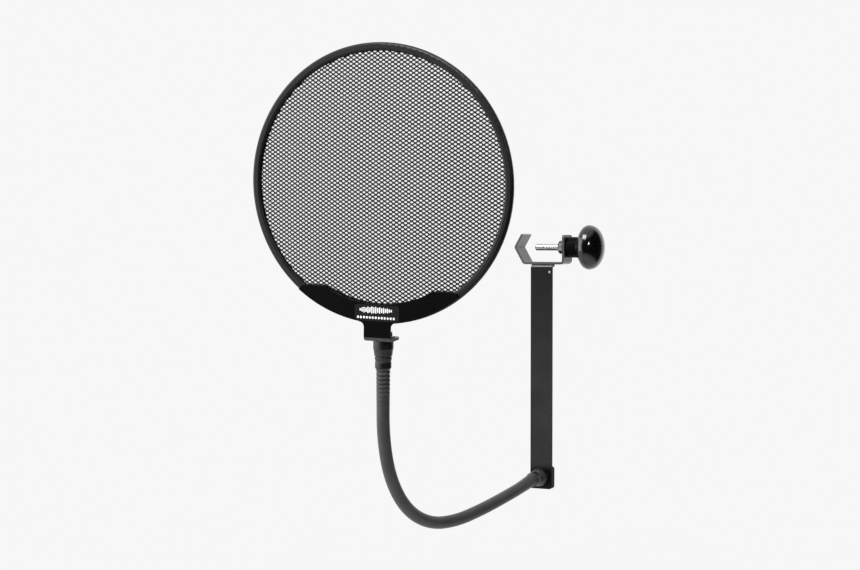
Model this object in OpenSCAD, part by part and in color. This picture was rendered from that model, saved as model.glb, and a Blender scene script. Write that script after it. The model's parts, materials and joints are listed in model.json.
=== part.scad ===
// Studio pop filter: a round metal screen in a black rim, a gooseneck, an extension
// arm and a C-clamp for a microphone stand.
//
// The frame: +X runs along the clamp screw, towards the knob. +Y runs backwards, away
// from the singer, along the stand's tube. +Z is up. The origin is on the screw's
// axis, at the centre of the largest tube that the clamp takes.

/* [Clamp] */
// Diameter of the largest tube that the clamp takes
tube_d = 26; // [22:0.1:26]
// Width of the steel strip that the clamp is bent from
strip_w = 16; // [15:0.5:18]
// Thickness of that strip
strip_t = 1.6; // [1.2:0.1:1.8]
// Height of the base's upper face, below the screw's axis
base_drop = 10.3; // [9:0.1:12]
// Height of the clamp's tips above the screw's axis
tip_rise = 8.6; // [7.5:0.1:10]

/* [Screw and knob] */
// Thread diameter of the clamp screw
screw_d = 5; // [4:0.1:5.2]
// Where the screw's tip stands with the knob home against the jaw
tip_x = -3.5; // [-6:0.5:0]
// Width across the flats of the clamp nut
nut_flats = 8; // [8:0.5:10]
// Thickness of the clamp nut
nut_h = 4.7; // [4:0.1:5]
// Diameter of the knob
knob_d = 31; // [26:1:34]
// Diameter of the knob's neck
neck_d = 14.4; // [12:0.2:16]

/* [Extension arm] */
// Width of the flat bar
arm_w = 15.9; // [14:0.1:18]
// Thickness of the flat bar
arm_t = 1.6; // [1.4:0.1:2]
// Where the bar's middle stands along the clamp's base
arm_x = 3.7; // [2.5:0.1:4.5]
// Height of the gooseneck's stud, below the screw's axis
stud_drop = 160.5; // [120:0.5:200]

/* [Gooseneck] */
// Outer diameter of the black sleeve
sleeve_d = 8; // [7:0.1:8.2]
// Outer diameter of the spring core inside it
core_d = 5.8; // [5:0.1:5.8]
// Length of one section of the flexible part
section_l = 28.2; // [26:0.1:30]
// Length of the ferrule at each end
ferrule_l = 18.5; // [18:0.5:20]
// How far the gooseneck leaves the arm's ferrule below the level
neck_tilt = 8.5; // [0:0.5:10]

/* [Screen] */
// Diameter over the rim
rim_d = 165; // [164:0.5:169]
// Radial width of the rim
rim_w = 5; // [4.5:0.1:5.5]
// Thickness of the rim, from front to back
rim_t = 4.4; // [4:0.1:5]
// Thickness of the expanded metal
mesh_t = 0.8; // [0.6:0.1:1]
// Inner radius of the crescent bracket
crescent_r = 70.6; // [69:0.1:73]
// Height of the crescent's straight ends, below the screen's centre
crescent_drop = 61.4; // [58:0.1:66]
// Width of the tab that carries the screen
tab_w = 17; // [15:0.5:19]
// How far the tab's flange stands below the screen's centre
neck_drop = 93; // [92:0.1:97]

/* [Hidden] */
$fn = 64;
STEEL_BLACK = [0.14, 0.14, 0.15];
PLASTIC_BLACK = [0.06, 0.06, 0.065];
SLEEVE_BLACK = [0.17, 0.17, 0.18];
ZINC = [0.75, 0.76, 0.77];
BRASS = [0.72, 0.58, 0.3];
fit = 0.05;      // running clearance between a shaft and its hole, in radius
loose = 0.3;     // clearance between two pieces that move past each other
eps = 0.1;       // overlap that a cutter or a joined stretch needs

// Clamp: the inner faces of the V, the base and the screw jaw
v_x = -tube_d / 2 / sin(60);                 // inside of the V's vertex
jaw_x = tube_d / 2 + 1.2 + nut_h;            // inner face of the screw jaw
lean = tan(30);                              // the V's legs stand 30 degrees off upright
strip_bend = 1.2;                            // inner radius of the strip's bends
jaw_corner = 2.2;                            // radius of the screw jaw's upper corners
screw_hole_d = screw_d + 0.4;                // plain hole in the screw jaw
base_z = -base_drop - strip_t;               // underside of the base

// Screw and knob
tip_chamfer = 0.6;
neck_x = jaw_x + strip_t + 0.4;              // near end of the knob's neck
knob_x = neck_x + 15.4;                      // plane of the knob's widest circle
knob_back = 7.8;                             // half-depth of its back
knob_front = 9.9;                            // half-depth of its domed front
insert_x = neck_x + 8;                       // near end of the metal insert
insert_l = 9;
insert_d = 8.4;
screw_end = insert_x + 6;                    // the screw goes this far into the insert

// Arm
arm_front = -strip_w / 2;                    // the bar's front face
arm_bend = 1.4;                              // inner radius of the bend at its top
arm_ledge = 5.2;                             // depth of the ledge welded under the base
arm_end = -stud_drop - 8.5;                  // lower end of the bar
arm_corner = 2;                              // radius of the bar's lower corners
weld_leg = 2;                                // leg of the fillet weld
weld_inset = 1;                              // how far the weld stops short of the bar's edges
block_t = 4;                                 // thickness of the backing block
block_h = 15.6;                              // height of the backing block

// Studs, washers and ferrules
stud_d = 6;
stud_hole_d = stud_d + 0.4;                  // plain hole for a stud in sheet metal
stud_chamfer = 0.5;
washer_d = 14;
washer_t = 1;
washer_teeth = 12;
tooth_l = 1.5;                               // depth of the gaps between the washer's teeth
tooth_gap = 1.4;
jam_flats = 10;
jam_h = 2.6;
ferrule_grip = 10;                           // how deep a stud goes into its ferrule

// Gooseneck: each section's bend in degrees about its own X axis (up and down) and
// its own Y axis (to the side), from the arm to the screen, in a round number each
BENDS = [[0.5, -6.5], [0.5, -3.5], [-2.5, -1], [-10.5, 0], [-20.5, 1],
         [-24, 1], [-21, 1.5], [-12.5, 2], [-4.5, -2.5]];
SECTIONS = len(BENDS);
head_twist = 12;                             // turn of the screen about its own ferrule
ball_d = sleeve_d - 0.2;                     // the ball at each section's near end
socket_d = ball_d + 2 * loose;               // the hollow that the next ball turns in
core_start = 4.8;                            // where a section's core begins
core_stop = 5.8;                             // how far short of its far end it stops

// Screen, with its centre at its own origin and its front towards -Y
tab_t = 1.5;                                 // sheet of the bracket
back_t = 1.2;                                // sheet of the back plate
tab_y = -rim_t / 2 - tab_t;                  // front face of the bracket
flange_y = 6.5;                              // ferrule's axis, behind the screen's plane
flange_end = flange_y + 8;                   // far edge of the flange
tab_bend = 1.5;                              // inner radius of the tab's bend
tab_fillet = 3;                              // radius where the tab leaves the crescent
flange_corner = 5;                           // radius of the flange's far corners
crescent_d = rim_d - 1;                      // outer diameter of the crescent
crescent_half = 38.5;                        // half of the angle between its two cut ends
stack_h = tab_t + washer_t + jam_h;          // flange, washer and jam nut
rivet_x = 9;
rivet_z = -74.4;
rivet_d = 3;
rivet_head_d = 5.6;
rivet_head_h = 1;
badge_w = 28.4;
badge_h = 9.7;
badge_z = -75.8;
badge_t = 0.2;
badge_corner = 1.6;
mesh_edge = 2.2;                             // how far the mesh stops short of the rim's outside
rim_edge = 1.6;                              // radius of the rim's edges
ROUND_FN = 180;                              // facets on the large rounds

// ---- Sheet bent along a path -------------------------------------------------

function unit(v) = v / norm(v);
function left(v) = [-v.y, v.x];
function heading(p, i) = unit(p[i + 1] - p[i]);
function turn(a, b) = atan2(a.x * b.y - a.y * b.x, a * b);
function bend_centre(p, i, r) =
    let (a = heading(p, i - 1), b = heading(p, i))
    p[i] - a * r * tan(turn(a, b) / 2) + left(a) * r;
function bend_arc(p, i, r, out, steps) =
    let (a = heading(p, i - 1), b = heading(p, i), c = bend_centre(p, i, r))
    let (from = atan2(-left(a).y, -left(a).x))
    [for (k = [0:steps]) let (t = from + turn(a, b) * k / steps) c + (r + out) * [cos(t), sin(t)]];

// Outline of a strip whose left-hand face follows the path, with every bend to the left
function strip_outline(p, r, t, steps = 8) =
    let (last = len(p) - 1)
    let (inner = [for (i = [1:last - 1]) each bend_arc(p, i, r, 0, steps)])
    let (outer = [for (i = [last - 1:-1:1]) let (arc = bend_arc(p, i, r, t, steps))
                  each [for (k = [steps:-1:0]) arc[k]]])
    concat([p[0]], inner, [p[last], p[last] - left(heading(p, last - 1)) * t],
           outer, [p[0] - left(heading(p, 0)) * t]);

// A bent strip whose outline lies in the XZ plane, centred on y = 0
module strip_along_y(p, r, t, width)
    translate([0, width / 2, 0]) rotate([90, 0, 0])
    linear_extrude(width) polygon(strip_outline(p, r, t));

// A bent strip whose outline lies in the YZ plane, centred on x = 0
module strip_along_x(p, r, t, width)
    translate([-width / 2, 0, 0]) rotate([90, 0, 90])
    linear_extrude(width) polygon(strip_outline(p, r, t));

// The waste outside a rounded corner at the origin, with the sheet towards -X and -Y
module corner_waste(r, depth)
    translate([0, 0, -depth / 2]) linear_extrude(depth)
    difference() {
        translate([-r, -r]) square([r + 1, r + 1]);
        translate([-r, -r]) circle(r);
    }

// ---- Clamp ------------------------------------------------------------------

module clamp_bracket() {
    tip = [v_x + tip_rise * lean, tip_rise];
    heel = [v_x + base_drop * lean, -base_drop];
    path = [tip, [v_x, 0], heel, [jaw_x, -base_drop], [jaw_x, tip_rise]];
    color(STEEL_BLACK) difference() {
        strip_along_y(path, strip_bend, strip_t, strip_w);
        translate([jaw_x - 1, 0, 0]) rotate([0, 90, 0])
            cylinder(d = screw_hole_d, h = strip_t + 2);
        for (side = [-1, 1])
            translate([jaw_x, side * strip_w / 2, tip_rise]) rotate([90, 0, 90])
            mirror([side < 0 ? 1 : 0, 0, 0]) corner_waste(jaw_corner, 4 * strip_t);
    }
}

module clamp_nut() {
    face_d = nut_flats + 0.2;
    slope = 1.7;
    color(ZINC) translate([jaw_x - nut_h, 0, 0]) rotate([0, 90, 0]) difference() {
        intersection() {
            cylinder(d = nut_flats / cos(30), h = nut_h, $fn = 6);
            cylinder(d1 = face_d, d2 = face_d + 2 * nut_h * slope, h = nut_h);
        }
        translate([0, 0, -1]) cylinder(d = screw_d + 2 * fit, h = nut_h + 2);
    }
}

// ---- Screw and knob -----------------------------------------------------------

module clamp_screw() {
    color(ZINC) translate([tip_x, 0, 0]) rotate([0, 90, 0]) {
        cylinder(d1 = screw_d - 2 * tip_chamfer, d2 = screw_d, h = tip_chamfer);
        translate([0, 0, tip_chamfer]) cylinder(d = screw_d, h = screw_end - tip_x - tip_chamfer);
    }
}

module knob_insert() {
    color(BRASS) translate([insert_x, 0, 0]) rotate([0, 90, 0]) difference() {
        cylinder(d = insert_d, h = insert_l);
        translate([0, 0, -1]) cylinder(d = screw_d + 2 * fit, h = screw_end - insert_x + 1.5);
    }
}

// A mushroom: two half-ellipse arcs, front and back, that meet at the widest circle
function quarter_ellipse(a, b, from, to, steps = 12) =
    [for (k = [0:steps]) let (t = from + (to - from) * k / steps) [a * sin(t), b * cos(t)]];

module knob() {
    neck_l = knob_x - neck_x;
    back = quarter_ellipse(knob_d / 2, knob_back, 152, 90);
    front = quarter_ellipse(knob_d / 2, knob_front, 85, 0);
    rise = [for (p = concat(back, front)) [p.x, p.y + neck_l]];
    color(PLASTIC_BLACK) translate([neck_x, 0, 0]) rotate([0, 90, 0]) difference() {
        rotate_extrude() polygon(concat([[0, 0], [neck_d / 2 - 0.5, 0], [neck_d / 2, 0.5]], rise));
        translate([0, 0, -1]) cylinder(d = screw_d + 2 * fit, h = neck_l);
        translate([0, 0, insert_x - neck_x - fit])
            cylinder(d = insert_d + 2 * fit, h = insert_l + 2 * fit);
    }
}

// ---- Extension arm --------------------------------------------------------------

module extension_arm() {
    under = base_z - arm_t;
    path = [[arm_front + arm_ledge, under], [arm_front + arm_t, under], [arm_front + arm_t, arm_end]];
    color(STEEL_BLACK) translate([arm_x, 0, 0]) difference() {
        strip_along_x(path, arm_bend, arm_t, arm_w);
        translate([0, arm_front - 1, -stud_drop]) rotate([-90, 0, 0])
            cylinder(d = stud_hole_d, h = arm_t + 2);
        for (side = [-1, 1])
            translate([side * arm_w / 2, arm_front, arm_end]) rotate([-90, 0, 0])
            mirror([side < 0 ? 1 : 0, 0, 0]) corner_waste(arm_corner, 4 * arm_t);
    }
}

module arm_weld() {
    back = arm_front + arm_ledge;
    color(STEEL_BLACK) translate([arm_x - arm_w / 2 + weld_inset, 0, 0]) rotate([90, 0, 90])
    linear_extrude(arm_w - 2 * weld_inset) difference() {
        translate([back, base_z - arm_t]) square([weld_leg, arm_t]);
        translate([back + weld_leg, base_z - arm_t]) circle(arm_t - 0.2);
    }
}

module arm_backing_block() {
    color(STEEL_BLACK) translate([arm_x, arm_front + arm_t, 0]) difference() {
        translate([-arm_w / 2, 0, arm_end]) cube([arm_w, block_t, block_h]);
        translate([0, -1, -stud_drop]) rotate([-90, 0, 0])
            cylinder(d = stud_d + 2 * fit, h = block_t + 2);
        for (side = [-1, 1], top = [0, 1])
            translate([side * arm_w / 2, block_t / 2, arm_end + top * block_h]) rotate([-90, 0, 0])
            mirror([side < 0 ? 1 : 0, 0, 0]) mirror([0, top, 0]) corner_waste(arm_corner, block_t + 1);
    }
}

// ---- Studs and ferrules ----------------------------------------------------------

// The arm's gooseneck seat: +Z leaves the bar's front face
module at_arm_seat() translate([arm_x, arm_front, -stud_drop]) rotate([90, 0, 0]) children();

// A stud that stands above and below its seat, with a chamfered lower end
module stud(above, below)
    color(ZINC) translate([0, 0, -below]) {
        cylinder(d1 = stud_d - 2 * stud_chamfer, d2 = stud_d, h = stud_chamfer);
        translate([0, 0, stud_chamfer]) cylinder(d = stud_d, h = above + below - stud_chamfer);
    }

// A turned ferrule: base collar, waist with a groove, second collar and lip
function ferrule_profile() = [
    [0, 0], [5.7, 0], [6.1, 0.4], [6.1, 5.4], [5.9, 5.8], [5.5, 9.6], [5.1, 9.9],
    [5.1, 10.4], [5.35, 10.7], [4.75, 13.1], [4.9, 13.4], [4.9, 17],
    [sleeve_d / 2 + 0.1, ferrule_l - 0.8], [sleeve_d / 2, ferrule_l], [0, ferrule_l]];

module ferrule_body() rotate_extrude() polygon(ferrule_profile());

module ferrule_bore()
    translate([0, 0, -1]) cylinder(d = stud_d + 2 * fit, h = ferrule_grip + 1.5);

module arm_ferrule() {
    color(PLASTIC_BLACK) at_arm_seat() difference() {
        ferrule_body();
        ferrule_bore();
        translate([0, 0, ferrule_l]) sphere(d = socket_d);
    }
}

module arm_stud() at_arm_seat() stud(ferrule_grip, arm_t + block_t + 0.4);

// ---- Gooseneck -------------------------------------------------------------------

// 4 by 4 matrices: turns about X and Z, a move, and one section's step along its arc
function turn_x(a) = [[1, 0, 0, 0], [0, cos(a), -sin(a), 0], [0, sin(a), cos(a), 0], [0, 0, 0, 1]];
function turn_z(a) = [[cos(a), -sin(a), 0, 0], [sin(a), cos(a), 0, 0], [0, 0, 1, 0], [0, 0, 0, 1]];
function move(v) = [[1, 0, 0, v.x], [0, 1, 0, v.y], [0, 0, 1, v.z], [0, 0, 0, 1]];
function bend_dir(b) = atan2(b.y, b.x);
function arc_r(b) = section_l * 180 / PI / norm(b);
function arc_step(b) =
    let (a = norm(b), r = arc_r(b))
    turn_z(bend_dir(b)) * move([0, -r * (1 - cos(a)), r * sin(a)]) * turn_x(a) * turn_z(-bend_dir(b));

// Where section i starts, seen from the arm's seat, for i from 1 to SECTIONS + 1
function section_start(i) =
    i == 1 ? move([0, 0, ferrule_l]) * turn_x(neck_tilt)
           : section_start(i - 1) * arc_step(BENDS[i - 2]);

module at_section(i) at_arm_seat() multmatrix(section_start(i)) children();

// A round bar that follows section i's arc, between two distances along it
module arc_bar(i, d, from, to) {
    b = BENDS[i - 1];
    r = arc_r(b);
    rotate([0, 0, bend_dir(b)]) translate([0, -r, 0]) rotate([90, 0, 90])
        rotate([0, 0, norm(b) * from / section_l])
        rotate_extrude(angle = norm(b) * (to - from) / section_l) translate([r, 0]) circle(d = d);
}

module gooseneck_sleeve(i) {
    color(SLEEVE_BLACK) difference() {
        at_section(i) {
            arc_bar(i, sleeve_d, 0, section_l);
            sphere(d = ball_d);
        }
        at_section(i) arc_bar(i, core_d + 2 * eps, core_start - eps, section_l - core_stop + eps);
        at_section(i + 1) sphere(d = socket_d);
    }
}

module spring_core(i)
    color(ZINC) at_section(i) arc_bar(i, core_d, core_start, section_l - core_stop);

// ---- Screen ----------------------------------------------------------------------

// The screen's own frame: origin at its centre, front towards -Y, tab towards -Z
module at_head()
    at_section(SECTIONS + 1) rotate([0, 0, head_twist])
    translate([0, -flange_y, ferrule_l + neck_drop]) children();

// The head ferrule's seat under the flange: +Z runs down, away from the screen
module at_head_seat() at_head() translate([0, flange_y, -neck_drop]) rotate([180, 0, 0]) children();

module head_ferrule() {
    color(PLASTIC_BLACK) at_head_seat() difference() {
        union() {
            ferrule_body();
            translate([0, 0, ferrule_l]) sphere(d = ball_d);
        }
        ferrule_bore();
    }
}

module head_stud() at_head_seat() stud(ferrule_grip, stack_h + 0.8);

module head_lock_washer()
    color(ZINC) at_head_seat() translate([0, 0, -tab_t - washer_t]) linear_extrude(washer_t)
    difference() {
        circle(d = washer_d);
        circle(d = stud_hole_d);
        for (k = [0:washer_teeth - 1])
            rotate(k * 360 / washer_teeth) translate([washer_d / 2 - tooth_l, -tooth_gap / 2])
            square([2 * tooth_l, tooth_gap]);
    }

module head_jam_nut() {
    color(ZINC) at_head_seat() translate([0, 0, -stack_h]) difference() {
        cylinder(d = jam_flats / cos(30), h = jam_h, $fn = 6);
        translate([0, 0, -1]) cylinder(d = stud_d + 2 * fit, h = jam_h + 2);
    }
}

// The crescent: the part of a ring below a level line, with its tips cut off square
// to the rim
module crescent() {
    reach = crescent_d / 2 + 1;
    end_x = reach * tan(crescent_half);
    intersection() {
        difference() {
            circle(d = crescent_d, $fn = ROUND_FN);
            circle(crescent_r, $fn = ROUND_FN);
        }
        translate([-reach, -reach]) square([2 * reach, reach - crescent_drop]);
        polygon([[0, 0], [-end_x, -reach], [end_x, -reach]]);
    }
}

// Stands a flat outline up in the screen's plane, from y = at forwards by t
module plate(at, t) translate([0, at, 0]) rotate([90, 0, 0]) linear_extrude(t) children();

module rivet_holes(d)
    for (side = [-1, 1]) translate([side * rivet_x, -10, rivet_z]) rotate([-90, 0, 0])
        cylinder(d = d, h = 20);

module rivet_sinks()
    for (side = [-1, 1]) translate([side * rivet_x, tab_y - eps, rivet_z]) rotate([-90, 0, 0])
        cylinder(d1 = rivet_head_d + 0.2, d2 = rivet_d + 0.2, h = rivet_head_h + 2 * eps);

// The fillet between the crescent's edge and one side of the tab
module tab_shoulder() {
    root = -crescent_d / 2 - tab_fillet + 0.6;
    difference() {
        translate([tab_w / 2 - 1, root]) square([tab_fillet + 1, tab_fillet + 1]);
        translate([tab_w / 2 + tab_fillet, root]) circle(tab_fillet);
    }
}

module bracket_front() {
    top = -rim_d / 2 + 3;
    path = [[tab_y + tab_t, top], [tab_y + tab_t, -neck_drop + tab_t], [flange_end, -neck_drop + tab_t]];
    color(STEEL_BLACK) at_head() difference() {
        union() {
            plate(tab_y + tab_t, tab_t) crescent();
            strip_along_x(path, tab_bend, tab_t, tab_w);
            plate(tab_y + tab_t, tab_t) {
                tab_shoulder();
                mirror([1, 0]) tab_shoulder();
            }
        }
        translate([0, flange_y, -neck_drop - 1]) cylinder(d = stud_hole_d, h = tab_t + 2);
        for (side = [-1, 1])
            translate([side * tab_w / 2, flange_end, -neck_drop])
            mirror([side < 0 ? 1 : 0, 0, 0]) corner_waste(flange_corner, 4 * tab_t);
        rivet_holes(rivet_d + 0.2);
        rivet_sinks();
    }
}

module bracket_back() {
    color(STEEL_BLACK) at_head() difference() {
        plate(rim_t / 2 + back_t, back_t) crescent();
        rivet_holes(rivet_d + 0.2);
    }
}

module bracket_rivets() {
    back = rim_t / 2 + back_t;
    color(ZINC) at_head() for (side = [-1, 1])
        translate([side * rivet_x, tab_y, rivet_z]) rotate([-90, 0, 0]) {
            cylinder(d1 = rivet_head_d, d2 = rivet_d, h = rivet_head_h);
            cylinder(d = rivet_d, h = back - tab_y);
            translate([0, 0, back - tab_y])
                cylinder(d1 = rivet_head_d, d2 = 0.7 * rivet_head_d, h = rivet_head_h);
        }
}

// A rectangle with rounded corners, centred on the origin
module rounded_rect(w, h, r) {
    square([w - 2 * r, h], center = true);
    square([w, h - 2 * r], center = true);
    for (x = [-1, 1], y = [-1, 1]) translate([x * (w / 2 - r), y * (h / 2 - r)]) circle(r);
}

module badge_label()
    color([0.24, 0.24, 0.25]) at_head() translate([0, 0, badge_z])
    plate(tab_y, badge_t) rounded_rect(badge_w, badge_h, badge_corner);

module mesh_screen() {
    color([0.3, 0.3, 0.3]) at_head() difference() {
        plate(mesh_t / 2, mesh_t) circle(rim_d / 2 - mesh_edge, $fn = ROUND_FN);
        rivet_holes(rivet_d + 0.2);
    }
}

// A rim with rounded edges and a groove that holds the mesh
module rim_trim() {
    groove = rim_w - mesh_edge + 2 * eps;
    inner = rim_d / 2 - rim_w;
    color(PLASTIC_BLACK) at_head() rotate([90, 0, 0]) rotate_extrude($fn = ROUND_FN) difference() {
        translate([inner + rim_w / 2, 0]) rounded_rect(rim_w, rim_t, rim_edge);
        translate([inner - 1, -mesh_t / 2 - eps]) square([groove + 1, mesh_t + 2 * eps]);
    }
}

// ---- Nodes ------------------------------------------------------------------------

clamp_bracket();
clamp_nut();
clamp_screw();
knob_insert();
knob();
extension_arm();
arm_weld();
arm_backing_block();
arm_stud();
arm_ferrule();
for (i = [1:SECTIONS]) {
    gooseneck_sleeve(i);
    spring_core(i);
}
head_ferrule();
head_stud();
head_lock_washer();
head_jam_nut();
bracket_front();
bracket_back();
bracket_rivets();
badge_label();
mesh_screen();
rim_trim();
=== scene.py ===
import json
import math

import bpy
from mathutils import Matrix, Vector


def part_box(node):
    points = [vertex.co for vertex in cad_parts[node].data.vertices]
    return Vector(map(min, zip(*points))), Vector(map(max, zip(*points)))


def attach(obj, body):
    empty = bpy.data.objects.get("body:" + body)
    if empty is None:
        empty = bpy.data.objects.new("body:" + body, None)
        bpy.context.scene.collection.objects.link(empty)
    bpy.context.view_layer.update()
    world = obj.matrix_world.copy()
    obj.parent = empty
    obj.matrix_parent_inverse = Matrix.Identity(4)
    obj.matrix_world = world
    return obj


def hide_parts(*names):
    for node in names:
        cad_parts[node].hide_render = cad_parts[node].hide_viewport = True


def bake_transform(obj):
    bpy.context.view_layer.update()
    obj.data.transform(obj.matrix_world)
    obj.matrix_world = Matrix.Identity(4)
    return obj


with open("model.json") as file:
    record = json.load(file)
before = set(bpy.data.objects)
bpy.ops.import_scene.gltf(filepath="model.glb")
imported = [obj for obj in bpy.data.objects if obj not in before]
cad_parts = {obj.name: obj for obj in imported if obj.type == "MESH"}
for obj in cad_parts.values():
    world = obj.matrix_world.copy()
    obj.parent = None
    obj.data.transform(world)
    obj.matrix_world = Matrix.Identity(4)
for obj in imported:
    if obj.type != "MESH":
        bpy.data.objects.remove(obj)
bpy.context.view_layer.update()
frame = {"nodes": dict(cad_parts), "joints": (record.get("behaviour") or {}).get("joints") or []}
MM = 0.001

# ---- Sizes shared with the CAD, in millimetres and degrees ---------------------------

# How far each section of the gooseneck bends about its X and Y, from the arm on
BENDS = [(0.5, -6.5), (0.5, -3.5), (-2.5, -1), (-10.5, 0), (-20.5, 1),
         (-24, 1), (-21, 1.5), (-12.5, 2), (-4.5, -2.5)]
SECTION = 28.2                   # length of a section
FERRULE = 18.5                   # length of a ferrule, up to the flexible part
ARM_FACE = (3.7, -8.0, -160.5)   # where the lower ferrule meets the arm
NECK_TILT = 8.5                  # how far below level the neck leaves that ferrule
HEAD_TWIST = 12.0                # turn of the screen about the neck's end
FLANGE_Y = 6.5                   # from the screen's middle plane back to its stud
NECK_DROP = 93.0                 # from the screen's centre down to its flange
SLEEVE_R = 4.0
TIP_X = -3.5                     # the clamp screw's tip


# ---- Matrices ----------------------------------------------------------------------

def turn(axis, degrees):
    return Matrix.Rotation(math.radians(degrees), 4, axis)


def shift(x, y, z):
    return Matrix.Translation((x, y, z))


def arc(bend, s):
    """The step along s millimetres of a section that bends by (x, y) degrees in all."""
    total = math.radians(math.hypot(*bend))
    r = SECTION / total
    a = total * s / SECTION
    phi = math.degrees(math.atan2(bend[1], bend[0]))
    return (turn("Z", phi) @ shift(0, -r * (1 - math.cos(a)), r * math.sin(a))
            @ Matrix.Rotation(a, 4, "X") @ turn("Z", -phi))


neck_joints = [j for j in frame["joints"] if j["name"].startswith("neck_")]
ARM_SEAT = shift(*ARM_FACE) @ turn("X", 90)
STARTS = [ARM_SEAT @ shift(0, 0, FERRULE) @ turn("X", NECK_TILT)]
for one in BENDS:
    STARTS.append(STARTS[-1] @ arc(one, SECTION))
HEAD = STARTS[-1] @ turn("Z", HEAD_TWIST) @ shift(0, -FLANGE_Y, FERRULE + NECK_DROP)
HEAD_SEAT = HEAD @ shift(0, FLANGE_Y, -NECK_DROP) @ turn("X", 180)
for start, j in zip(STARTS, neck_joints):
    assert (start.translation * MM - Vector(j["pos_m"])).length < 1e-4, j["name"]


def neck_at(s):
    """The frame at s millimetres along the flexible part: Z along it."""
    i = min(max(int(s // SECTION), 0), len(BENDS) - 1)
    return STARTS[i] @ arc(BENDS[i], s - i * SECTION)


# ---- Shader helpers ------------------------------------------------------------------

class Nodes:
    """A material's node tree, with short calls that add and link nodes."""

    def __init__(self, name, colour=(0.5, 0.5, 0.5), rough=0.5, metal=0.0):
        self.mat = bpy.data.materials.new(name)
        self.mat.use_nodes = True
        self.tree = self.mat.node_tree
        self.tree.nodes.clear()
        self.out = self.tree.nodes.new("ShaderNodeOutputMaterial")
        self.bsdf = self.tree.nodes.new("ShaderNodeBsdfPrincipled")
        self.tree.links.new(self.bsdf.outputs[0], self.out.inputs[0])
        self.set("Base Color", (*colour, 1))
        self.set("Roughness", rough)
        self.set("Metallic", metal)
        self.mat.diffuse_color = (*colour, 1)

    def set(self, socket, value):
        self.bsdf.inputs[socket].default_value = value

    def add(self, kind, inputs=None, **props):
        node = self.tree.nodes.new(kind)
        for k, v in props.items():
            setattr(node, k, v)
        for k, v in (inputs or {}).items():
            self.feed(node, k, v)
        return node

    def feed(self, node, socket, value):
        if isinstance(value, bpy.types.NodeSocket):
            self.tree.links.new(value, node.inputs[socket])
        else:
            node.inputs[socket].default_value = value

    def link(self, value, socket):
        self.tree.links.new(value, self.bsdf.inputs[socket])

    def place(self):
        return self.add("ShaderNodeTexCoord").outputs["Object"]

    def scaled(self, vector, scale):
        return self.add("ShaderNodeMapping", {"Vector": vector, "Scale": scale}).outputs[0]

    def noise(self, vector, scale, detail=3.0, rough=0.5):
        return self.add("ShaderNodeTexNoise", {
            "Vector": vector, "Scale": scale, "Detail": detail, "Roughness": rough}).outputs[0]

    def cells(self, vector, scale):
        return self.add("ShaderNodeTexVoronoi", {"Vector": vector, "Scale": scale}).outputs[0]

    def ramp(self, value, low, high, out_low=0.0, out_high=1.0):
        return self.add("ShaderNodeMapRange", {
            "Value": value, "From Min": low, "From Max": high,
            "To Min": out_low, "To Max": out_high}).outputs[0]

    def math(self, operation, a, b=0.0):
        return self.add("ShaderNodeMath", {0: a, 1: b}, operation=operation).outputs[0]

    def mix(self, factor, a, b):
        node = self.add("ShaderNodeMix", data_type="RGBA")
        self.feed(node, 0, factor)
        for socket, value in ((6, a), (7, b)):
            self.feed(node, socket, value if isinstance(value, bpy.types.NodeSocket) else (*value, 1))
        return node.outputs[2]

    def bump(self, height, distance, strength=1.0, normal=None):
        inputs = {"Height": height, "Distance": distance, "Strength": strength}
        node = self.add("ShaderNodeBump", inputs)
        if normal is not None:
            self.tree.links.new(normal, node.inputs["Normal"])
        return node.outputs[0]

    def shade(self, colour):
        """The colour, darkened into painted shade where the mesh's "dark" attribute is 1."""
        dark = self.add("ShaderNodeAttribute", attribute_name="dark").outputs["Fac"]
        return self.mix(self.math("MULTIPLY", dark, 0.8), colour, (0.0015, 0.0015, 0.0015))

    def edges(self, radius, low, high):
        """1 on sharp edges and 0 on flats, from the difference a bevel would make."""
        bevel = self.add("ShaderNodeBevel", {"Radius": radius}, samples=4).outputs[0]
        flat = self.add("ShaderNodeNewGeometry").outputs["Normal"]
        dot = self.add("ShaderNodeVectorMath", {0: bevel, 1: flat}, operation="DOT_PRODUCT")
        return self.ramp(dot.outputs["Value"], high, low)


# ---- Painted light and shade on the coat, in metres ------------------------------------

NEAR_BLACK = (0.003, 0.003, 0.0032)
ARM_TOP_SHADE = (-0.09, -0.02)            # heights between which painted shade darkens the arm upwards
ARM_BEND_HIGHLIGHT = (-0.0135, -0.0118)      # painted highlight along the bend under the clamp, bottom and top
# where a small light spot is painted on the bar
ARM_LIGHT_SPOT = (0.0097, -0.008, -0.0171)
ARM_END_SHADOW = (-0.1515, -0.1555)         # heights between which painted shadow blackens the arm's lower end
BEND_HIGHLIGHT = (-0.0903, -0.0912)       # where the painted highlight over the bracket's bend begins, along the screen's own Z
FLANGE_END_HIGHLIGHT = (0.0085, 0.0105)       # where the painted highlight brightens the end of its flange, along the screen's own Y


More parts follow.
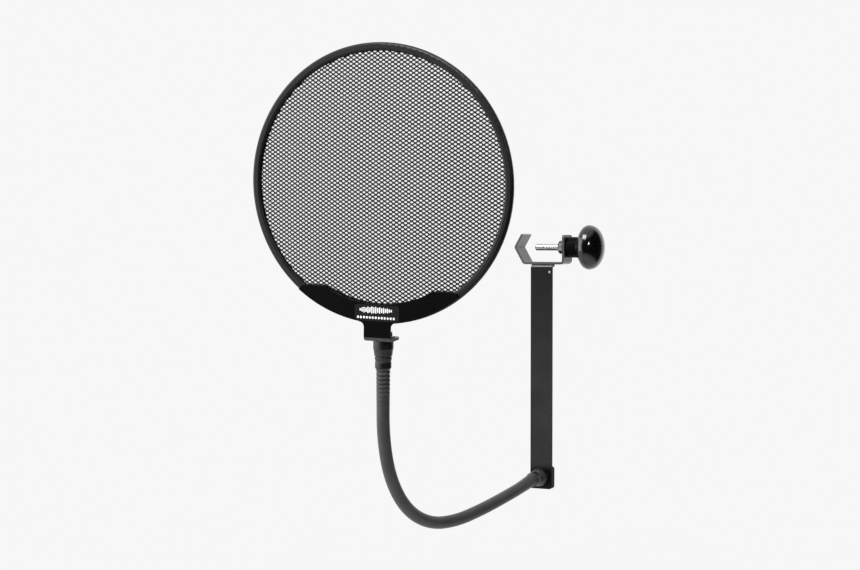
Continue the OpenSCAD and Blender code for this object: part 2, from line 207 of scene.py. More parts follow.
def arm_light_and_shade(m, at, tone):
    """The bar's painted light and shade: a painted highlight along the bend under the clamp, a small
    light spot, painted shade darkening towards the top and a painted shadow over the lower end.
    """
    z = m.add("ShaderNodeSeparateXYZ", {0: at}).outputs[2]
    # Painted shade: the bar turns darker towards the clamp above it.
    tone = m.mix(m.ramp(z, *ARM_TOP_SHADE, 0, 0.75), tone, NEAR_BLACK)
    # Painted highlight: a lighter, uneven band along the bend under the clamp.
    low, high = ARM_BEND_HIGHLIGHT
    above, below = m.ramp(z, low - 0.0002, low + 0.0002), m.ramp(z, high + 0.0001, high - 0.0001)
    bend_lit = m.math("MULTIPLY", above, below)
    uneven = m.ramp(m.noise(at, 500, 3, 0.6), 0.3, 0.6, 0.55, 1.0)
    tone = m.mix(m.math("MULTIPLY", bend_lit, uneven), tone, (0.3, 0.3, 0.3))
    # A small light spot painted on the bar.
    away = m.add("ShaderNodeVectorMath", {0: at, 1: ARM_LIGHT_SPOT}, operation="DISTANCE")
    ragged = m.ramp(m.noise(at, 900, 2, 0.5), 0.3, 0.7, -0.0003, 0.0003)
    reach = m.math("ADD", away.outputs["Value"], ragged)
    tone = m.mix(m.ramp(reach, 0.0008, 0.0005), tone, (0.4, 0.4, 0.39))
    # Painted shadow of the ferrule over the bar's lower end.
    return m.mix(m.ramp(z, *ARM_END_SHADOW), tone, NEAR_BLACK)


def bracket_highlights(m, at, tone):
    """The screen bracket's painted highlights: a lighter strip over its lower bend and flange, brighter
    at the flange's end.
    """
    up = HEAD.col[2].to_3d().normalized()
    back = HEAD.col[1].to_3d().normalized()

    def along(direction):
        height = m.add("ShaderNodeVectorMath", {0: at, 1: direction}, operation="DOT_PRODUCT")
        return m.math("SUBTRACT", height.outputs["Value"], direction.dot(HEAD.translation) * MM)

    uneven = m.ramp(m.noise(at, 600, 3, 0.6), 0.3, 0.6, 0.5, 1.0)
    bend = m.math("MULTIPLY", m.ramp(along(up), *BEND_HIGHLIGHT), uneven)
    # Painted highlight: a lighter strip over the bracket's lower bend and flange.
    tone = m.mix(bend, tone, (0.1, 0.1, 0.103))
    end = m.math("MULTIPLY", bend, m.ramp(along(back), *FLANGE_END_HIGHLIGHT))
    # Painted highlight: brighter still at the flange's end.
    return m.mix(end, tone, (0.55, 0.55, 0.55))


# ---- Materials ---------------------------------------------------------------------------

def powder_coat(name, colour, rough, grain, wear, shine, coat=0.0, painted_light=None):
    """Matt black coat on steel: fine grain, soft mottling, and thin wear on the edges."""
    m = Nodes(name, colour, rough)
    at = m.place()
    broad = m.noise(at, 45, 4, 0.6)
    fine = m.noise(at, 900, 3, 0.6)
    pits = m.noise(at, 2600, 2, 0.5)
    tone = m.mix(m.ramp(broad, 0.3, 0.7), [c * 0.8 for c in colour], [c * 1.25 for c in colour])
    speck = m.mix(m.ramp(pits, 0.62, 0.75, 0, 0.35), tone, [c * 2.6 for c in colour])
    scuff = m.math("MULTIPLY", m.edges(0.0005, 0.80, 0.985), m.ramp(m.noise(at, 320, 4, 0.7), 0.45, 0.75))
    worn = m.mix(m.math("MULTIPLY", scuff, wear), speck, (0.22, 0.22, 0.225))
    # Where given, painted light and shade go over the coat's own colour.
    m.link(painted_light(m, at, worn) if painted_light else worn, "Base Color")
    m.link(m.ramp(m.math("ADD", broad, m.math("MULTIPLY", fine, 0.5)), 0.5, 1.0,
                  rough - 0.06, rough + 0.1), "Roughness")
    soft = m.bump(fine, 0.00006, grain)
    m.link(m.bump(pits, 0.00002, grain, soft), "Normal")
    m.set("Specular IOR Level", shine)
    m.set("Coat Weight", coat)
    m.set("Coat Roughness", 0.22)
    return m.mat


def zinc_plate(name, dark, light):
    """Zinc plate: metal with faint clouding, fine tool lines and a little dulling."""
    m = Nodes(name, light, 0.24, 1.0)
    at = m.place()
    cloud = m.noise(at, 260, 4, 0.6)
    m.link(m.mix(m.ramp(cloud, 0.35, 0.7), dark, light), "Base Color")
    m.link(m.ramp(m.noise(at, 900, 3, 0.6), 0.3, 0.75, 0.16, 0.36), "Roughness")
    m.link(m.bump(m.noise(at, 1800, 2, 0.5), 0.00002, 0.4), "Normal")
    return m.mat


def turned(name, colour, rough, axis_scale):
    """A turned and blackened surface: fine rings round the axis in the piece's own space."""
    m = Nodes(name, colour, rough)
    m.set("Specular IOR Level", 0.35)
    at = m.place()
    rings = m.noise(m.scaled(at, axis_scale), 1.0, 2, 0.5)
    broad = m.noise(at, 150, 3, 0.6)
    worn = m.math("MULTIPLY", m.edges(0.0003, 0.86, 0.99), m.ramp(m.noise(at, 500, 3, 0.6), 0.4, 0.7))
    tone = m.mix(m.ramp(broad, 0.3, 0.7), [c * 0.8 for c in colour], [c * 1.3 for c in colour])
    # Painted shade on the ferrule's darker bands, through the "dark" attribute.
    m.link(m.shade(m.mix(m.math("MULTIPLY", worn, 0.3), tone, (0.2, 0.2, 0.2))), "Base Color")
    m.link(m.ramp(broad, 0.3, 0.7, rough - 0.05, rough + 0.08), "Roughness")
    m.link(m.bump(rings, 0.00003, 0.5), "Normal")
    return m.mat


def phenolic(name):
    """Moulded black phenolic, polished: gloss with faint swirls, dust and hairlines."""
    m = Nodes(name, (0.011, 0.011, 0.012), 0.16)
    at = m.place()
    broad = m.noise(at, 90, 4, 0.6)
    lines = m.noise(m.scaled(at, (400, 2600, 400)), 1.0, 2, 0.5)
    m.link(m.mix(m.ramp(broad, 0.35, 0.75), (0.002, 0.002, 0.0022), (0.004, 0.004, 0.004)), "Base Color")
    m.link(m.math("ADD", m.ramp(broad, 0.3, 0.75, 0.12, 0.22),
                  m.ramp(lines, 0.62, 0.8, 0.0, 0.1)), "Roughness")
    m.link(m.bump(m.noise(at, 220, 2, 0.5), 0.00004, 0.35), "Normal")
    m.set("Coat Weight", 0.35)
    m.set("Coat Roughness", 0.08)
    return m.mat


def sleeve_plastic(name):
    """Shrunk black sleeve: satin, with faint length-wise scuffs and a trace of dust."""
    colour = (0.05, 0.05, 0.053)
    m = Nodes(name, colour, 0.46)
    at = m.place()
    broad = m.noise(at, 70, 4, 0.6)
    fine = m.noise(at, 1500, 3, 0.6)
    scuffs = m.cells(m.scaled(at, (500, 160, 160)), 1.0)
    tone = m.mix(m.ramp(broad, 0.3, 0.7), [c * 0.85 for c in colour], [c * 1.35 for c in colour])
    # Painted shade in the rib grooves, through the "dark" attribute.
    m.link(m.shade(m.mix(m.ramp(scuffs, 0.0, 0.09, 0.35, 0.0), tone, (0.085, 0.085, 0.085))),
           "Base Color")
    m.link(m.math("ADD", m.ramp(broad, 0.3, 0.7, 0.4, 0.5), m.ramp(fine, 0.5, 0.8, 0.0, 0.12)),
           "Roughness")
    m.link(m.bump(fine, 0.00003, 0.5), "Normal")
    m.set("Specular IOR Level", 0.25)
    m.set("Sheen Weight", 0.04)
    m.set("Sheen Roughness", 0.4)
    return m.mat


def rim_plastic(name):
    """The rim's satin trim: drawn along its length, with slight waviness."""
    colour = (0.004, 0.004, 0.0043)
    m = Nodes(name, colour, 0.4)
    m.set("Specular IOR Level", 0.25)
    at = m.place()
    broad = m.noise(at, 40, 3, 0.6)
    fine = m.noise(at, 1300, 3, 0.6)
    m.link(m.mix(m.ramp(broad, 0.3, 0.7), [c * 0.8 for c in colour], [c * 1.4 for c in colour]),
           "Base Color")
    m.link(m.ramp(m.math("ADD", broad, m.math("MULTIPLY", fine, 0.3)), 0.45, 0.95, 0.34, 0.48),
           "Roughness")
    m.link(m.bump(fine, 0.00003, 0.5, m.bump(m.noise(at, 120, 2, 0.5), 0.0001, 0.25)), "Normal")
    return m.mat


def mesh_paint(name):
    """Satin black paint on expanded metal, a little thinner on its highest strands."""
    colour = (0.004, 0.004, 0.0043)
    m = Nodes(name, colour, 0.45)
    m.set("Specular IOR Level", 0.25)
    at = m.place()
    broad = m.noise(at, 60, 3, 0.6)
    fine = m.noise(at, 1400, 3, 0.6)
    tone = m.mix(m.ramp(broad, 0.3, 0.7), [c * 0.7 for c in colour], [c * 1.5 for c in colour])
    m.link(m.mix(m.ramp(fine, 0.6, 0.8, 0, 0.2), tone, (0.04, 0.04, 0.04)), "Base Color")
    m.link(m.ramp(fine, 0.3, 0.7, 0.38, 0.55), "Roughness")
    m.link(m.bump(fine, 0.00003, 0.4), "Normal")
    return m.mat


def film(name, colour, rough, shine):
    """An even, dull surface with a slight tooth and a few rubbed spots."""
    m = Nodes(name, colour, rough)
    m.set("Specular IOR Level", shine)
    at = m.place()
    rub = m.noise(at, 260, 4, 0.6)
    m.link(m.mix(m.ramp(rub, 0.35, 0.75), [c * 0.85 for c in colour], [c * 1.12 for c in colour]),
           "Base Color")
    m.link(m.ramp(rub, 0.3, 0.7, rough - 0.05, rough + 0.1), "Roughness")
    m.link(m.bump(m.noise(at, 1900, 2, 0.5), 0.00001, 0.5), "Normal")
    return m.mat


def metal(name, colour, rough):
    """Plain machined metal for the hidden pieces."""
    m = Nodes(name, colour, rough, 1.0)
    at = m.place()
    cloud = m.noise(at, 400, 3, 0.6)
    m.link(m.mix(m.ramp(cloud, 0.3, 0.7), [c * 0.8 for c in colour], [min(1, c * 1.15) for c in colour]),
           "Base Color")
    m.link(m.ramp(cloud, 0.3, 0.7, rough - 0.08, rough + 0.1), "Roughness")
    m.link(m.bump(cloud, 0.00003, 0.4), "Normal")
    return m.mat


COAT = powder_coat("black_coat", (0.018, 0.018, 0.0192),
                   rough=0.42, grain=0.55, wear=0.25, shine=0.3, coat=0.7)
ARM_COAT = powder_coat("black_arm_coat", (0.0185, 0.0185, 0.0195),
                       rough=0.42, grain=0.55, wear=0.25, shine=0.1, painted_light=arm_light_and_shade)
PLATE_COAT = powder_coat("black_plate_coat", (0.0006, 0.0006, 0.0006),
                         rough=0.4, grain=0.45, wear=0.2, shine=0.05)
BRACKET_COAT = powder_coat("black_bracket_coat", (0.0006, 0.0006, 0.0006),
                           rough=0.4, grain=0.45, wear=0.2, shine=0.05, painted_light=bracket_highlights)
ZINC = zinc_plate("bright_zinc", dark=(0.66, 0.68, 0.71), light=(0.82, 0.82, 0.81))
DULL_ZINC = zinc_plate("dull_zinc", dark=(0.05, 0.05, 0.052), light=(0.3, 0.3, 0.3))
FERRULE_BLACK = turned("ferrule_black", (0.025, 0.025, 0.0265), rough=0.36, axis_scale=(300, 2500, 2500))
PHENOLIC = phenolic("knob_phenolic")
SLEEVE = sleeve_plastic("sleeve_black")
RIM = rim_plastic("rim_black")
MESH = mesh_paint("mesh_black")
LABEL = film("label_film", (0.006, 0.006, 0.0064), rough=0.38, shine=0.12)
PRINT = film("label_print", (0.82, 0.82, 0.82), rough=0.45, shine=0.4)
# The knob's neck is its own phenolic; this darker, nearly unreflecting copy paints it in shade.
NECK_SHADE = film("knob_neck_painted_shade", (0.001, 0.001, 0.001), rough=0.45, shine=0.04)
BRASS = metal("insert_brass", (0.62, 0.45, 0.18), rough=0.35)
SPRING = metal("spring_steel", (0.4, 0.4, 0.41), rough=0.35)


# ---- Mesh helpers ----------------------------------------------------------------------

def piece(name, verts, faces, material, body, smooth=True, place=None, slot=None, hides=()):
    """A mesh from millimetres in its own space, put in place, that rides on a body."""
    mesh = bpy.data.meshes.new(name)
    where = place or Matrix.Identity(4)
    mesh.from_pydata([(where @ Vector(v)) * MM for v in verts], [], faces)
    mesh.validate()
    mesh.materials.append(material)
    mesh.polygons.foreach_set("use_smooth", [smooth] * len(mesh.polygons))
    obj = bpy.data.objects.new(name, mesh)
    bpy.context.scene.collection.objects.link(obj)
    if body:
        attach(obj, body)
    if hides:
        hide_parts(*hides)
    return obj


def paint_shade(obj, values):
    """Stores how much painted shade each vertex gets, from 0 to 1, for the materials that read it."""
    obj.data.attributes.new("dark", "FLOAT", "POINT").data.foreach_set("value", values)


def ring_faces(rings, sides, closed_start=True, closed_end=True):
    faces = []
    for r in range(rings - 1):
        for k in range(sides):
            a, b = r * sides + k, r * sides + (k + 1) % sides
            faces.append((a, b, b + sides, a + sides))
    if closed_start:
        faces.append(tuple(range(sides - 1, -1, -1)))
    if closed_end:
        faces.append(tuple(range((rings - 1) * sides, rings * sides)))
    return faces


def lathe(profile, sides):
    """Vertices and faces of a profile of (radius, height) turned about Z."""
    verts = []
    for r, z in profile:
        for k in range(sides):
            a = 2 * math.pi * k / sides
            verts.append((r * math.cos(a), r * math.sin(a), z))
    return verts, ring_faces(len(profile), sides)


def rounded(points, radius, steps=3):
    """The same polyline with its corners rounded, radius by radius where it is a list."""
    out = [points[0]]
    for i in range(1, len(points) - 1):
        p = Vector(points[i])
        a, b = Vector(points[i - 1]) - p, Vector(points[i + 1]) - p
        r = radius[i] if isinstance(radius, (list, tuple)) else radius
        cut = min(r, 0.45 * a.length, 0.45 * b.length)
        p0, p1 = p + a.normalized() * cut, p + b.normalized() * cut
        for k in range(steps + 1):
            t = k / steps
            out.append(tuple((1 - t) ** 2 * p0 + 2 * t * (1 - t) * p + t * t * p1))
    out.append(points[-1])
    return out


def sharpen(obj, angle=35):
    """Keeps edges over the angle crisp on a smooth-shaded mesh."""
    obj.data.set_sharp_from_angle(angle=math.radians(angle))


CREST = 0.12   # width of a thread's flat crest, and of its flat root, as a share of the pitch


def thread(length, major, pitch, depth, plain_end=0.6, chamfer=0.6, sides=40, steps=8):
    """A helical thread along Z from 0, with a chamfered start and a plain far end."""
    rings = int(length / (pitch / steps)) + 1
    verts = []
    for i in range(rings):
        z = length * i / (rings - 1)
        limit = major - max(0.0, chamfer - z) * 1.2
        fade = min(1.0, max(0.0, (length - plain_end - z) / pitch))
        for k in range(sides):
            t = k / sides
            phase = (z / pitch - t) % 1.0
            groove = 1 - abs(2 * phase - 1)
            groove = min(1.0, max(0.0, (groove - CREST) / (1 - 2 * CREST)))
            r = min(limit, major - depth * groove * fade)
            a = 2 * math.pi * t
            verts.append((r * math.cos(a), r * math.sin(a), z))
    return verts, ring_faces(rings, sides)


# ---- Gooseneck --------------------------------------------------------------------------

RIB_PITCH = 2.5
RIB_REACH = 24.0      # how far the ribs run from each end before they fade out
RIB_HEIGHT = 0.36
RIB_SWELL = 0.12      # how much thicker the sleeve is at its ends
SKIN_GAP = 0.04       # how far the visible skin stays inside the CAD sleeve's radius
SLEEVE_IN = 1.5       # how far the sleeve goes into each ferrule
SLEEVE_SIDES = 40
FLEX = SECTION * len(BENDS)


def rib(s, angle):
    """How near s is to an end of the sleeve, from 0 to 1, and the winding's wave there."""
    fade = max(0.0, 1 - max(min(s, FLEX - s), 0) / RIB_REACH)
    return fade, 0.5 + 0.5 * math.cos(2 * math.pi * s / RIB_PITCH - angle)


def sleeve_radius(s, angle):
    fade, wave = rib(s, angle)
    return SLEEVE_R - SKIN_GAP + fade * (RIB_SWELL + RIB_HEIGHT * (wave ** 1.4 - 0.35))


def sleeve_groove_shade(s, angle):
    """Painted shade in the grooves between the ribs."""
    fade, wave = rib(s, angle)
    return min(1.0, 1.5 * fade) * max(0.0, 1 - 2.2 * wave)


def sleeve_piece(k):
    """The sleeve round joint k, from the middle of one section to the middle of the next."""
    first, last = k == 0, k == len(BENDS)
    low = -SLEEVE_IN if first else (k - 0.5) * SECTION
    high = FLEX + SLEEVE_IN if last else (k + 0.5) * SECTION
    step = 0.3 if first or last else 0.8
    rings = int(round((high - low) / step)) + 1
    verts, dark = [], []
    for i in range(rings):
        s = low + (high - low) * i / (rings - 1)
        at = neck_at(s)
        for n in range(SLEEVE_SIDES):
            a = 2 * math.pi * n / SLEEVE_SIDES
            r = sleeve_radius(s, a)
            verts.append(tuple(at @ Vector((r * math.cos(a), r * math.sin(a), 0))))
            dark.append(sleeve_groove_shade(s, a))
    faces = ring_faces(rings, SLEEVE_SIDES, closed_start=False, closed_end=False)
    hides = [] if last else [f"gooseneck_sleeve_{k + 1}"]
    obj = piece(f"sleeve_{k}", verts, faces, SLEEVE, None, slot="sleeve_black", hides=hides)
    # Painted shade in the rib grooves.
    paint_shade(obj, dark)
    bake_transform(obj)
    return obj


for k in range(len(BENDS) + 1):
    sleeve_piece(k)


# ---- Ferrules -----------------------------------------------------------------------------

# Stretches of a ferrule painted darker, along its axis: painted shade for the dark reflections on its
# collars and in its groove
PAINTED_DARK_BANDS = [(0.0, 5.6), (9.6, 10.6), (13.2, 17.1)]


def ferrule(name, place, body, node):
    """Stepped and tapered, from its seat at 0 to the gooseneck, and turned in one piece."""
    profile = [(3.0, 0.0), (5.8, 0.0), (6.1, 0.3), (6.1, 5.4), (5.85, 5.8), (5.4, 9.5),
               (4.85, 9.8), (4.85, 10.4), (5.3, 10.7), (4.65, 13.1), (4.92, 13.35), (4.92, 16.9),
               (4.35, 17.5), (4.15, 18.2), (3.6, 18.2)]
    sizes = [0, 0.2, 0.25, 0.3, 0.3, 0.25, 0.15, 0.15, 0.25, 0.25, 0.2, 0.3, 0.25, 0.15, 0]
    outline = rounded(profile, sizes, 4)
    sides = 72
    obj = piece(name, *lathe(outline, sides), FERRULE_BLACK, body, place=place,
                slot="ferrule_black", hides=[node])
    # Painted shade on the collars and the groove.
    paint_shade(obj, [1.0 if any(a < z < b for a, b in PAINTED_DARK_BANDS) else 0.0
                 for r, z in outline for k in range(sides)])
    sharpen(obj, 40)


ferrule("ferrule_at_arm", ARM_SEAT, "clamp_and_arm", "arm_ferrule")
ferrule("ferrule_at_screen", HEAD_SEAT, "screen_head", "head_ferrule")


# ---- Screw, studs and knob -----------------------------------------------------------------

ALONG_X = turn("Y", 90)
KNOB_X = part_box("knob")[0].x / MM
SCREW = {"major": 2.5, "pitch": 0.8, "depth": 0.46}                                   # M5
STUD = {"major": 3.0, "pitch": 1.0, "depth": 0.55, "plain_end": 0.0, "chamfer": 0.5}   # M6

screw = piece("clamp_screw_thread", *thread(KNOB_X + 1.5 - TIP_X, **SCREW), ZINC, "screw_and_knob",
              place=shift(TIP_X, 0, 0) @ ALONG_X, slot="zinc", hides=["clamp_screw"])
sharpen(screw, 60)
end_stud = piece("arm_stud_thread", *thread(8.0, **STUD), ZINC, "clamp_and_arm",
                 place=ARM_SEAT @ shift(0, 0, -6.0), slot="zinc", hides=["arm_stud"])
sharpen(end_stud, 60)
head_stud = piece("head_stud_thread", *thread(9.0, **STUD), ZINC, "screen_head",
                  place=HEAD_SEAT @ shift(0, 0, -5.9), slot="zinc", hides=["head_stud"])
sharpen(head_stud, 60)

KNOB_R = 15.5
KNOB_WIDEST = 15.4           # from the knob's back to its widest circle
KNOB_NECK_R = 7.2
KNOB_BORE_R = 2.9
FLARE = KNOB_WIDEST - 7.9    # where the knob starts to flare from its neck


def knob_profile():
    """Flared back, a narrow land round the widest circle, and a domed front."""
    points = [(KNOB_BORE_R, FLARE), (KNOB_NECK_R - 0.2, FLARE), (KNOB_NECK_R, FLARE + 0.5)]
    for k in range(15):
        t = math.radians(150 - 56 * k / 14)
        points.append(((KNOB_R - 0.15) * math.sin(t), KNOB_WIDEST - 0.7 + 7.1 * math.cos(t)))
    points += [(KNOB_R, KNOB_WIDEST - 0.65), (KNOB_R, KNOB_WIDEST + 0.45)]
    for k in range(1, 25):
        t = math.radians(88 * (1 - k / 24))
        points.append((max((KNOB_R - 0.2) * math.sin(t), 0.05), KNOB_WIDEST + 0.55 + 9.35 * math.cos(t)))
    return points


def knob_neck_profile():
    """A plain sleeve that ends just inside the flared part."""
    end = FLARE + 0.3
    points = [(KNOB_BORE_R, 0.0), (KNOB_NECK_R, 0.0), (KNOB_NECK_R, end), (KNOB_BORE_R, end)]
    return rounded(points, [0, 0.5, 0.1, 0], 4)


knob = piece("knob_body", *lathe(rounded(knob_profile(), 0.35, 3), 128), PHENOLIC, "screw_and_knob",
             place=shift(KNOB_X, 0, 0) @ ALONG_X, slot="knob_phenolic", hides=["knob"])
sharpen(knob, 50)
# The neck in the darker copy of the phenolic: painted shade.
neck = piece("knob_neck", *lathe(knob_neck_profile(), 96), NECK_SHADE, "screw_and_knob",
             place=shift(KNOB_X, 0, 0) @ ALONG_X, slot="knob_phenolic")
sharpen(neck, 50)


# ---- Expanded mesh ----------------------------------------------------------------------------

LONG_WAY = 3.77       # the mesh's pitch across
SHORT_WAY = 2.45      # and upwards
HOLE_X = 1.08         # half a hole's width
HOLE_Z = 0.64         # and half its height
SQUARENESS = 1.6      # a hole's outline: 1 is a diamond, 2 an ellipse
SHEET = 0.45          # thickness
TWIST = 0.05          # how far a strand leans out of the sheet
DOME = 2.0            # how far the middle bulges forwards
MESH_R = 80.3
RIM_INNER = 77.5


def expanded_mesh():
    """Staggered rows of eight-sided holes in a thin, slightly domed sheet."""
    hole = []
    for k in range(8):
        a = k * math.pi / 4
        c, s = math.cos(a), math.sin(a)
        grow = (abs(c) ** SQUARENESS + abs(s) ** SQUARENESS) ** (-1 / SQUARENESS)
        hole.append((HOLE_X * c * grow, HOLE_Z * s * grow))
    corners = [(LONG_WAY / 2, 0), (0, SHORT_WAY / 2), (-LONG_WAY / 2, 0), (0, -SHORT_WAY / 2)]
    verts, faces, shared = [], [], {}

    def dome(r):
        return -DOME * max(0.0, 1 - (r / RIM_INNER) ** 2)

    def add(x, z, lift, side):
        r = math.hypot(x, z)
        if r > MESH_R:
            x, z, r = x * MESH_R / r, z * MESH_R / r, MESH_R
        verts.append((x, dome(r) + lift + side * SHEET / 2, z))
        return len(verts) - 1

    def corner(x, z, side):
        key = (round(x, 3), round(z, 3), side)
        if key not in shared:
            shared[key] = add(x, z, 0.0, side)
        return shared[key]

    rows = int(MESH_R / SHORT_WAY * 2) + 2
    columns = int(MESH_R / LONG_WAY) + 2
    for row in range(-rows, rows + 1):
        cz = row * SHORT_WAY / 2
        shift_x = 0.0 if row % 2 else LONG_WAY / 2
        for column in range(-columns, columns + 1):
            cx = column * LONG_WAY + shift_x
            if math.hypot(cx, cz) > MESH_R - 0.9:
                continue
            sets = []
            for side in (-1, 1):
                outer = [corner(cx + x, cz + z, side) for x, z in corners]
                inner = [add(cx + x, cz + z, -TWIST * z / HOLE_Z, side) for x, z in hole]
                sets.append((outer, inner))
            for side, (outer, inner) in zip((-1, 1), sets):
                for q in range(4):
                    a, b = outer[q], outer[(q + 1) % 4]
                    i0, i1, i2 = inner[2 * q], inner[2 * q + 1], inner[(2 * q + 2) % 8]
                    for f in ((a, b, i1), (a, i1, i0), (b, i2, i1)):
                        faces.append(f if side < 0 else f[::-1])
            front, back = sets[0][1], sets[1][1]
            for q in range(8):
                n = (q + 1) % 8
                faces.append((front[q], front[n], back[n], back[q]))
    return verts, faces


piece("screen_mesh", *expanded_mesh(), MESH, "screen_head", smooth=False, place=HEAD,
      slot="mesh_paint", hides=["mesh_screen"])


# ---- Label print, rivets and weld ---------------------------------------------------------------

def bar_outline(cx, cz, w, h, steps=4):
    """A small upright bar with round ends, as points in the label's plane."""
    r = min(w, h) / 2
    out = []
    for sx, sz, first in ((1, 1, 0), (-1, 1, 90), (-1, -1, 180), (1, -1, 270)):
        for k in range(steps + 1):
            a = math.radians(first + 90 * k / steps)
            out.append((cx + sx * (w / 2 - r) + r * math.cos(a), cz + sz * (h / 2 - r) + r * math.sin(a)))
    return out


WAVE_HEIGHTS = [1.6, 2.6, 3.4, 2.8, 3.9, 3.1, 4.2, 3.6, 4.2, 3.0, 3.8, 2.8, 3.4, 2.4, 3.0, 2.0, 1.5]
WAVE_START, WAVE_PITCH, WAVE_BAR, WAVE_Z = -10.6, 1.24, 0.86, -74.1
DASHES, DASH_START, DASH_PITCH, DASH_Z = 13, -12.0, 1.9, -78.6
DASH = (1.35, 1.5)
PRINT_FRONT, PRINT_BACK = -3.96, -3.88


def label_print():
    """A generic sound wave of upright bars over a row of short dashes."""
    shapes = [bar_outline(WAVE_START + i * WAVE_PITCH, WAVE_Z, WAVE_BAR, h)
              for i, h in enumerate(WAVE_HEIGHTS)]
    shapes += [bar_outline(DASH_START + i * DASH_PITCH, DASH_Z, *DASH) for i in range(DASHES)]
    verts, faces = [], []
    for points in shapes:
        n, first = len(points), len(verts)
        verts += [(x, y, z) for y in (PRINT_FRONT, PRINT_BACK) for x, z in points]
        faces.append(tuple(first + k for k in range(n)))
        for k in range(n):
            a, b = first + k, first + (k + 1) % n
            faces.append((b, a, a + n, b + n))
    return verts, faces


piece("label_print", *label_print(), PRINT, "screen_head", smooth=False, place=HEAD, slot="label")

RIVET_X = 9.0
RIVET_Z = -74.4
PLATE_BACK = 3.4      # the back plate's rear face, behind the screen's middle plane
RIVET_R = 2.8
RIVET_RISE = 0.95


def rivet_profile():
    """A driven rivet's low dome, from its seat to its crown."""
    edge = 0.15
    dome = [(RIVET_R * math.cos(math.radians(a)), edge + RIVET_RISE * math.sin(math.radians(a)))
            for a in (15, 30, 45, 60, 75)]
    return [(RIVET_R - 0.05, 0.0), (RIVET_R, edge)] + dome + [(0.25, edge + RIVET_RISE)]


def rivet_heads():
    """Both heads on the back plate, as one mesh in the screen's own space."""
    verts, faces = [], []
    for side in (-1, 1):
        head_verts, head_faces = lathe(rivet_profile(), 32)
        seat = shift(side * RIVET_X, PLATE_BACK, RIVET_Z) @ turn("X", -90)
        faces += [tuple(i + len(verts) for i in one) for one in head_faces]
        verts += [tuple(seat @ Vector(p)) for p in head_verts]
    return verts, faces


rivets = piece("rivet_heads", *rivet_heads(), PLATE_COAT, "screen_head", place=HEAD,
               slot="black_paint", hides=["bracket_rivets"])
sharpen(rivets, 50)

BEAD_R = 1.55
RIPPLE = 0.1
RIPPLE_PITCH = 1.1


def weld_bead():
    """A fillet bead with the ripples that a torch leaves, tapered at both ends."""
    lo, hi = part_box("arm_weld")
    x0, x1, y0, z1 = lo.x / MM, hi.x / MM, lo.y / MM, hi.z / MM
    rings, sides = 90, 9
    verts = []
    for i in range(rings):
        x = x0 + (x1 - x0) * i / (rings - 1)
        ripple = RIPPLE * abs(math.sin(math.pi * (x - x0) / RIPPLE_PITCH))
        end = min(1.0, 3 * min(i, rings - 1 - i) / rings + 0.55)
        verts.append((x, y0 - 0.1, z1))
        for k in range(sides):
            a = math.radians(90 * k / (sides - 1))
            r = (BEAD_R + ripple) * end * (1 - 0.16 * math.sin(2 * a))
            verts.append((x, y0 + r * math.cos(a) * 1.15, z1 - r * math.sin(a)))
    return verts, ring_faces(rings, sides + 1)


weld = piece("weld_bead", *weld_bead(), COAT, "clamp_and_arm", slot="black_paint", hides=["arm_weld"])
sharpen(weld, 60)


# ---- CAD pieces that stay, with their finish -------------------------------------------------------

def finish_node(name, material, bevel=0.0, segments=3):
    """Gives a CAD piece its material and, where a bevel in millimetres is given, soft edges."""
    obj = frame["nodes"][name]
    obj.data.materials.clear()
    obj.data.materials.append(material)
    if bevel:
        weld_up = obj.modifiers.new("weld", "WELD")
        weld_up.merge_threshold = 0.005 * MM
        round_off = obj.modifiers.new("edges", "BEVEL")
        round_off.width = bevel * MM
        round_off.segments = segments
        round_off.limit_method = "ANGLE"
        round_off.angle_limit = math.radians(40)
        round_off.use_clamp_overlap = True
        round_off.harden_normals = True


finish_node("clamp_bracket", COAT, 0.22)
finish_node("extension_arm", ARM_COAT, 0.22)
finish_node("arm_backing_block", PLATE_COAT, 0.3)
finish_node("bracket_front", BRACKET_COAT, 0.15)
finish_node("bracket_back", PLATE_COAT, 0.15)
finish_node("rim_trim", RIM)
finish_node("badge_label", LABEL)
finish_node("clamp_nut", DULL_ZINC, 0.12)
finish_node("head_lock_washer", ZINC, 0.1, 2)
finish_node("head_jam_nut", ZINC, 0.15)
finish_node("knob_insert", BRASS)
for i in range(len(BENDS)):
    finish_node(f"spring_core_{i + 1}", SPRING)


# ---- Studio ------------------------------------------------------------------------------------------

PALE = (0.93, 0.93, 0.93)
DARK_SIDE = (0.953, -0.304, 0.0)    # the direction of the unlit side, in the level plane
FLOOR_Z = -0.36
FLOOR_R = 3.0
FLOOR_FADE = (0.35, 0.85)           # the floor fades into the paper between these distances
CENTRE = (0.0, -0.11, -0.02)


def studio_floor():
    """A round, pale sheet of paper under the object that fades out around it."""
    mesh = bpy.data.meshes.new("floor")
    sides = 96
    angles = [2 * math.pi * k / sides for k in range(sides)]
    verts = [(FLOOR_R * math.cos(a), FLOOR_R * math.sin(a), FLOOR_Z) for a in angles]
    mesh.from_pydata(verts, [], [tuple(range(sides))])
    floor = bpy.data.objects.new("floor", mesh)
    bpy.context.scene.collection.objects.link(floor)
    m = Nodes("floor_paper", (0.6, 0.6, 0.6), 0.9)
    at = m.add("ShaderNodeNewGeometry").outputs["Position"]
    reach = m.add("ShaderNodeVectorMath", {0: at}, operation="LENGTH").outputs["Value"]
    clear = m.add("ShaderNodeBsdfTransparent")
    blend = m.add("ShaderNodeMixShader")
    near, far = FLOOR_FADE
    smooth = m.add("ShaderNodeMapRange", {"Value": reach, "From Min": near, "From Max": far},
                   interpolation_type="SMOOTHSTEP")
    m.feed(blend, 0, smooth.outputs[0])
    m.tree.links.new(m.bsdf.outputs[0], blend.inputs[1])
    m.tree.links.new(clear.outputs[0], blend.inputs[2])
    m.tree.links.new(blend.outputs[0], m.out.inputs[0])
    mesh.materials.append(m.mat)


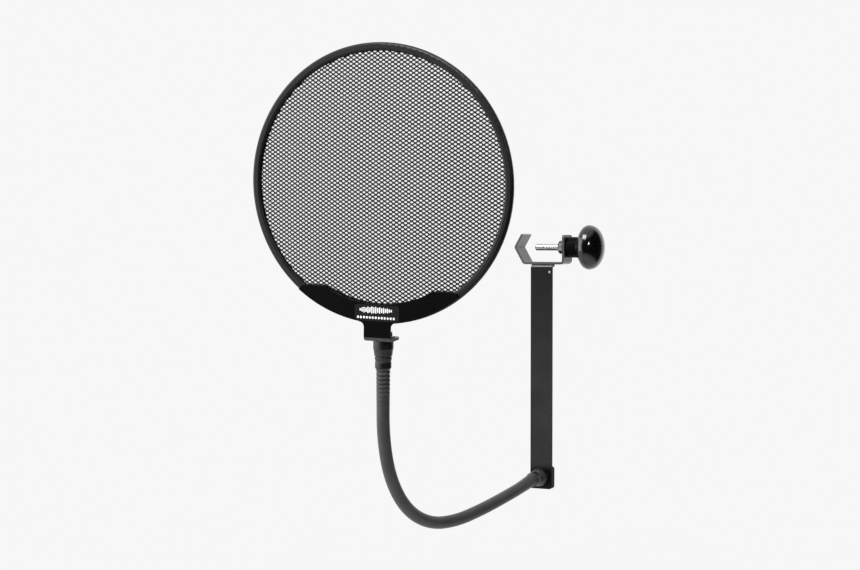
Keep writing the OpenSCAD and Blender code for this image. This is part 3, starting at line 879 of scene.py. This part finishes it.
def studio_world():
    """Pale to the camera; for light and reflections, pale paper round all but the dark side."""
    world = bpy.data.worlds.new("studio")
    bpy.context.scene.world = world
    world.use_nodes = True
    tree = world.node_tree
    tree.nodes.clear()
    new, link = tree.nodes.new, tree.links.new
    out = new("ShaderNodeOutputWorld")
    seen, room, mix = new("ShaderNodeBackground"), new("ShaderNodeBackground"), new("ShaderNodeMixShader")
    seen.inputs[0].default_value = (*PALE, 1)
    at = new("ShaderNodeTexCoord")
    split = new("ShaderNodeSeparateXYZ")
    link(at.outputs["Generated"], split.inputs[0])
    towards = new("ShaderNodeVectorMath")
    towards.operation = "DOT_PRODUCT"
    link(at.outputs["Generated"], towards.inputs[0])
    towards.inputs[1].default_value = Vector(DARK_SIDE).normalized()

    def smooth_step(source, low, high, out_low, out_high):
        node = new("ShaderNodeMapRange")
        node.interpolation_type = "SMOOTHSTEP"
        values = (low, high, out_low, out_high)
        for socket, value in zip(("From Min", "From Max", "To Min", "To Max"), values):
            node.inputs[socket].default_value = value
        link(source, node.inputs["Value"])
        return node.outputs[0]

    def brighter(a, b):
        node = new("ShaderNodeMath")
        node.operation = "MAXIMUM"
        link(a, node.inputs[0])
        link(b, node.inputs[1])
        return node.outputs[0]

    paper = smooth_step(towards.outputs["Value"], 0.05, 0.33, 1.0, 0.01)
    ceiling = smooth_step(split.outputs[2], 0.6, 0.85, 0.0, 0.8)
    table = smooth_step(split.outputs[2], -0.75, -0.35, 0.4, 0.0)
    link(brighter(paper, brighter(ceiling, table)), room.inputs[0])
    path = new("ShaderNodeLightPath")
    link(path.outputs["Is Camera Ray"], mix.inputs[0])
    link(room.outputs[0], mix.inputs[1])
    link(seen.outputs[0], mix.inputs[2])
    link(mix.outputs[0], out.inputs[0])


def soft_light(name, at, towards, size, power):
    lamp = bpy.data.lights.new(name, "AREA")
    lamp.shape = "RECTANGLE"
    lamp.size, lamp.size_y = size
    lamp.energy = power
    obj = bpy.data.objects.new(name, lamp)
    bpy.context.scene.collection.objects.link(obj)
    obj.location = at
    obj.rotation_euler = (Vector(towards) - Vector(at)).to_track_quat("-Z", "Y").to_euler()


studio_floor()
studio_world()
soft_light("key_left", (-1.3, -1.0, 0.3), CENTRE, (2.0, 1.5), 24)
soft_light("front_top", (-0.15, -1.0, 1.45), CENTRE, (0.9, 0.7), 30)
soft_light("front_right", (1.3, -0.95, 0.5), (0.0, -0.1, -0.1), (0.25, 0.2), 6)

EYE = (0.4409, -1.1330, 0.0109)
LOOK_AZIMUTH = 24.927    # degrees to the left of +Y
LOOK_DOWN = 1.769
camera = bpy.data.cameras.new("camera")
camera.lens = 72.31
camera.sensor_width = 36
camera.clip_start, camera.clip_end = 0.05, 20
eye = bpy.data.objects.new("camera", camera)
bpy.context.scene.collection.objects.link(eye)
eye.location = EYE
azimuth, down = math.radians(LOOK_AZIMUTH), math.radians(LOOK_DOWN)
look = Vector((-math.sin(azimuth) * math.cos(down), math.cos(azimuth) * math.cos(down), -math.sin(down)))
eye.rotation_euler = look.to_track_quat("-Z", "Y").to_euler()
bpy.context.scene.camera = eye
bpy.context.scene.view_settings.view_transform = "Standard"
